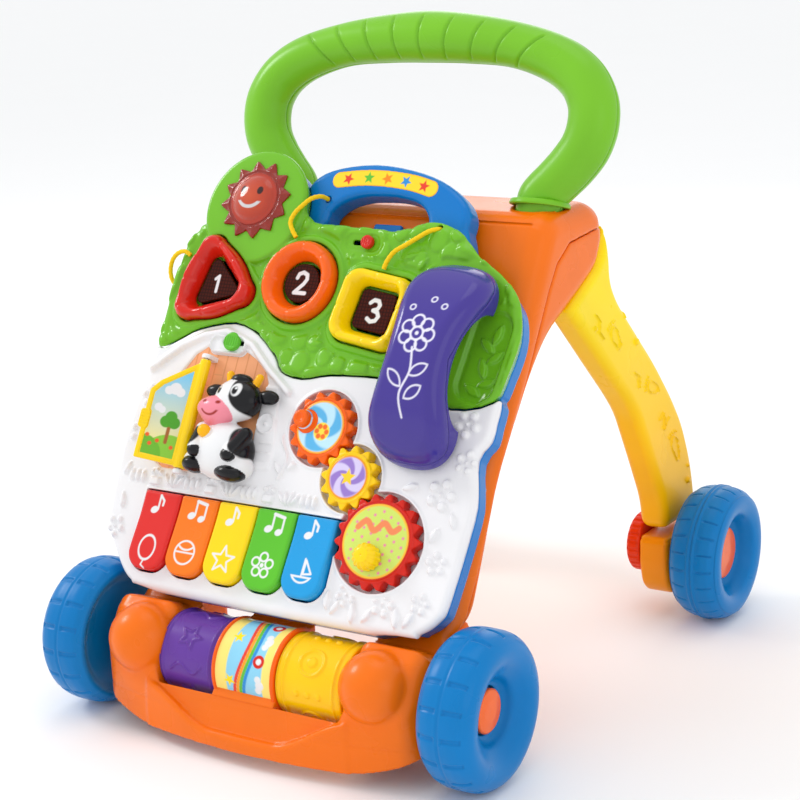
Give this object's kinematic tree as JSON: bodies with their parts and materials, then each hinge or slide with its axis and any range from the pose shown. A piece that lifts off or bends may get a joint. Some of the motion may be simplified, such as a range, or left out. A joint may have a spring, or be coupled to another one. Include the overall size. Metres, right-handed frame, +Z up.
{
  "type": "baby walker",
  "caption": "Sit-to-stand push walker on four wheels with a looped push handle and a lift-off activity panel with keys, gears, shape rings and a handset.",
  "frame": {"origin": "on the floor, under the middle of the walker's bounding box", "axes": "+Z up, +X to the right of someone facing the activity panel, -Y towards that person"},
  "size_m": [0.398, 0.456, 0.4882],
  "materials": {
    "frame_orange": "satin moulded",
    "handle_green": "satin moulded",
    "leg_yellow": "satin moulded",
    "foot_orange": "satin moulded",
    "steel": "drawn",
    "roller_label": "printed label",
    "roller_violet": "satin moulded",
    "roller_gold": "satin moulded",
    "wheel_blue": "satin moulded",
    "knob_red": "gloss moulded",
    "shell_blue": "gloss moulded",
    "leaf_green": "gloss moulded",
    "shell_white": "gloss moulded",
    "lens_red": "clear tinted",
    "window_brown": "clear tinted",
    "board_green": "solder mask",
    "dark_grey": "matt",
    "toy_orange": "gloss moulded",
    "toy_yellow": "gloss moulded",
    "cord_yellow": "twisted",
    "handset_purple": "gloss moulded"
  },
  "bodies": {
    "frame": {"front_shell": "frame_orange", "rear_shell": "frame_orange", "handle_front": "handle_green", "handle_rear": "handle_green", "leg_left": "leg_yellow", "leg_right": "leg_yellow", "foot_left": "foot_orange", "foot_right": "foot_orange", "front_axles": "steel", "rear_axles": "steel", "roller_axle": "steel", "roller_housing": "roller_label", "frame_screws": "steel"},
    "wheel_front_left": {"wheel_front_left": "wheel_blue", "cap_front_left": "foot_orange"},
    "wheel_front_right": {"wheel_front_right": "wheel_blue", "cap_front_right": "foot_orange"},
    "wheel_rear_left": {"wheel_rear_left": "wheel_blue", "cap_rear_left": "foot_orange"},
    "wheel_rear_right": {"wheel_rear_right": "wheel_blue", "cap_rear_right": "foot_orange"},
    "roller_purple": {"roller_purple": "roller_violet"},
    "roller_yellow": {"roller_yellow": "roller_gold"},
    "speed_knob_left": {"speed_knob_left": "knob_red"},
    "speed_knob_right": {"speed_knob_right": "knob_red"},
    "latch": {"panel_latch": "shell_blue"},
    "panel": {"panel_back": "shell_blue", "green_shell": "leaf_green", "white_shell": "shell_white", "sun_lens": "lens_red", "circuit_board": "board_green", "speaker": "dark_grey", "battery_cover": "shell_blue", "batteries": "dark_grey", "panel_screws": "steel", "door_pin": "steel", "cow": "shell_white", "cord_triangle": "cord_yellow", "cord_circle": "cord_yellow", "cord_square": "cord_yellow"},
    "button_triangle": {"button_triangle": "window_brown"},
    "button_circle": {"button_circle": "window_brown"},
    "button_square": {"button_square": "window_brown"},
    "ring_triangle": {"ring_triangle": "knob_red"},
    "ring_circle": {"ring_circle": "toy_orange"},
    "ring_square": {"ring_square": "toy_yellow"},
    "gear_orange": {"gear_orange": "toy_orange"},
    "gear_yellow": {"gear_yellow": "toy_yellow"},
    "gear_red": {"gear_red": "knob_red", "gear_knob": "toy_yellow"},
    "key_red": {"key_red": "knob_red"},
    "key_orange": {"key_orange": "toy_orange"},
    "key_yellow": {"key_yellow": "toy_yellow"},
    "key_green": {"key_green": "leaf_green"},
    "key_blue": {"key_blue": "shell_blue"},
    "door": {"barn_door": "toy_yellow"},
    "mode_slider": {"mode_slider": "leaf_green"},
    "volume_slider": {"volume_slider": "knob_red"},
    "handset": {"handset_front": "handset_purple", "handset_back": "handset_purple"}
  },
  "joints": [
    {"name": "wheel_front_left_spin", "type": "hinge", "parent": "frame", "child": "wheel_front_left", "pos_m": [-0.161, -0.174, 0.054], "axis": [1, 0, 0], "continuous": true},
    {"name": "wheel_rear_left_spin", "type": "hinge", "parent": "frame", "child": "wheel_rear_left", "pos_m": [-0.178, 0.174, 0.054], "axis": [1, 0, 0], "continuous": true},
    {"name": "speed_knob_left_turn", "type": "hinge", "parent": "frame", "child": "speed_knob_left", "pos_m": [-0.115, 0.174, 0.054], "axis": [1, 0, 0], "range_deg": [0, 90]},
    {"name": "wheel_front_right_spin", "type": "hinge", "parent": "frame", "child": "wheel_front_right", "pos_m": [0.161, -0.174, 0.054], "axis": [1, 0, 0], "continuous": true},
    {"name": "wheel_rear_right_spin", "type": "hinge", "parent": "frame", "child": "wheel_rear_right", "pos_m": [0.178, 0.174, 0.054], "axis": [1, 0, 0], "continuous": true},
    {"name": "speed_knob_right_turn", "type": "hinge", "parent": "frame", "child": "speed_knob_right", "pos_m": [0.115, 0.174, 0.054], "axis": [1, 0, 0], "range_deg": [0, 90]},
    {"name": "roller_purple_spin", "type": "hinge", "parent": "frame", "child": "roller_purple", "pos_m": [0, -0.184, 0.057], "axis": [1, 0, 0], "continuous": true},
    {"name": "roller_yellow_spin", "type": "hinge", "parent": "frame", "child": "roller_yellow", "pos_m": [0, -0.184, 0.057], "axis": [1, 0, 0], "continuous": true},
    {"name": "latch_press", "type": "slide", "parent": "frame", "child": "latch", "axis": [0, 0.5, 0.866], "range_m": [0, 0.005], "stiffness_N_per_m": 300, "springref_m": -0.002},
    {"name": "panel_lift_off", "type": "slide", "parent": "frame", "child": "panel", "axis": [0, -0.866, 0.5], "range_m": [0, 0.12]},
    {"name": "button_triangle_press", "type": "slide", "parent": "panel", "child": "button_triangle", "axis": [0, -0.866, 0.5], "range_m": [-0.002, 0], "stiffness_N_per_m": 300, "springref_m": 0.002},
    {"name": "ring_triangle_lift_off", "type": "slide", "parent": "panel", "child": "ring_triangle", "axis": [0, -0.866, 0.5], "range_m": [0, 0.03]},
    {"name": "button_circle_press", "type": "slide", "parent": "panel", "child": "button_circle", "axis": [0, -0.866, 0.5], "range_m": [-0.002, 0], "stiffness_N_per_m": 300, "springref_m": 0.002},
    {"name": "ring_circle_lift_off", "type": "slide", "parent": "panel", "child": "ring_circle", "axis": [0, -0.866, 0.5], "range_m": [0, 0.03]},
    {"name": "button_square_press", "type": "slide", "parent": "panel", "child": "button_square", "axis": [0, -0.866, 0.5], "range_m": [-0.002, 0], "stiffness_N_per_m": 300, "springref_m": 0.002},
    {"name": "ring_square_lift_off", "type": "slide", "parent": "panel", "child": "ring_square", "axis": [0, -0.866, 0.5], "range_m": [0, 0.03]},
    {"name": "gear_red_spin", "type": "hinge", "parent": "panel", "child": "gear_red", "pos_m": [0.07775, -0.15811, 0.15177], "axis": [0, -0.866, 0.5], "continuous": true},
    {"name": "gear_yellow_spin", "type": "hinge", "parent": "panel", "child": "gear_yellow", "pos_m": [0.044, -0.138, 0.1866], "axis": [0, -0.866, 0.5], "continuous": true},
    {"name": "gear_orange_spin", "type": "hinge", "parent": "panel", "child": "gear_orange", "pos_m": [0.01183, -0.12191, 0.21446], "axis": [0, -0.866, 0.5], "continuous": true},
    {"name": "key_red_press", "type": "hinge", "parent": "panel", "child": "key_red", "pos_m": [0, -0.15047, 0.15801], "axis": [1, 0, 0], "range_deg": [0, 3], "stiffness_Nm_per_rad": 0.8, "springref_deg": -3.44},
    {"name": "key_orange_press", "type": "hinge", "parent": "panel", "child": "key_orange", "pos_m": [0, -0.15047, 0.15801], "axis": [1, 0, 0], "range_deg": [0, 3], "stiffness_Nm_per_rad": 0.8, "springref_deg": -3.44},
    {"name": "key_yellow_press", "type": "hinge", "parent": "panel", "child": "key_yellow", "pos_m": [0, -0.15047, 0.15801], "axis": [1, 0, 0], "range_deg": [0, 3], "stiffness_Nm_per_rad": 0.8, "springref_deg": -3.44},
    {"name": "key_green_press", "type": "hinge", "parent": "panel", "child": "key_green", "pos_m": [0, -0.15047, 0.15801], "axis": [1, 0, 0], "range_deg": [0, 3], "stiffness_Nm_per_rad": 0.8, "springref_deg": -3.44},
    {"name": "key_blue_press", "type": "hinge", "parent": "panel", "child": "key_blue", "pos_m": [0, -0.15047, 0.15801], "axis": [1, 0, 0], "range_deg": [0, 3], "stiffness_Nm_per_rad": 0.8, "springref_deg": -3.44},
    {"name": "door_swing", "type": "hinge", "parent": "panel", "child": "door", "pos_m": [-0.099, -0.12956, 0.21522], "axis": [0, 0.5, 0.866], "range_deg": [-15, 90]},
    {"name": "mode_slider_move", "type": "slide", "parent": "panel", "child": "mode_slider", "axis": [1, 0, 0], "range_m": [-0.006, 0.006]},
    {"name": "volume_slider_move", "type": "slide", "parent": "panel", "child": "volume_slider", "axis": [1, 0, 0], "range_m": [-0.01, 0]},
    {"name": "handset_lift_off", "type": "slide", "parent": "panel", "child": "handset", "axis": [0, -0.866, 0.5], "range_m": [0, 0.1]}
  ],
  "couplings": [
    {"joint": "gear_yellow_spin", "follows": "gear_red_spin", "ratio": -1.5},
    {"joint": "gear_orange_spin", "follows": "gear_red_spin", "ratio": 1.2857}
  ]
}
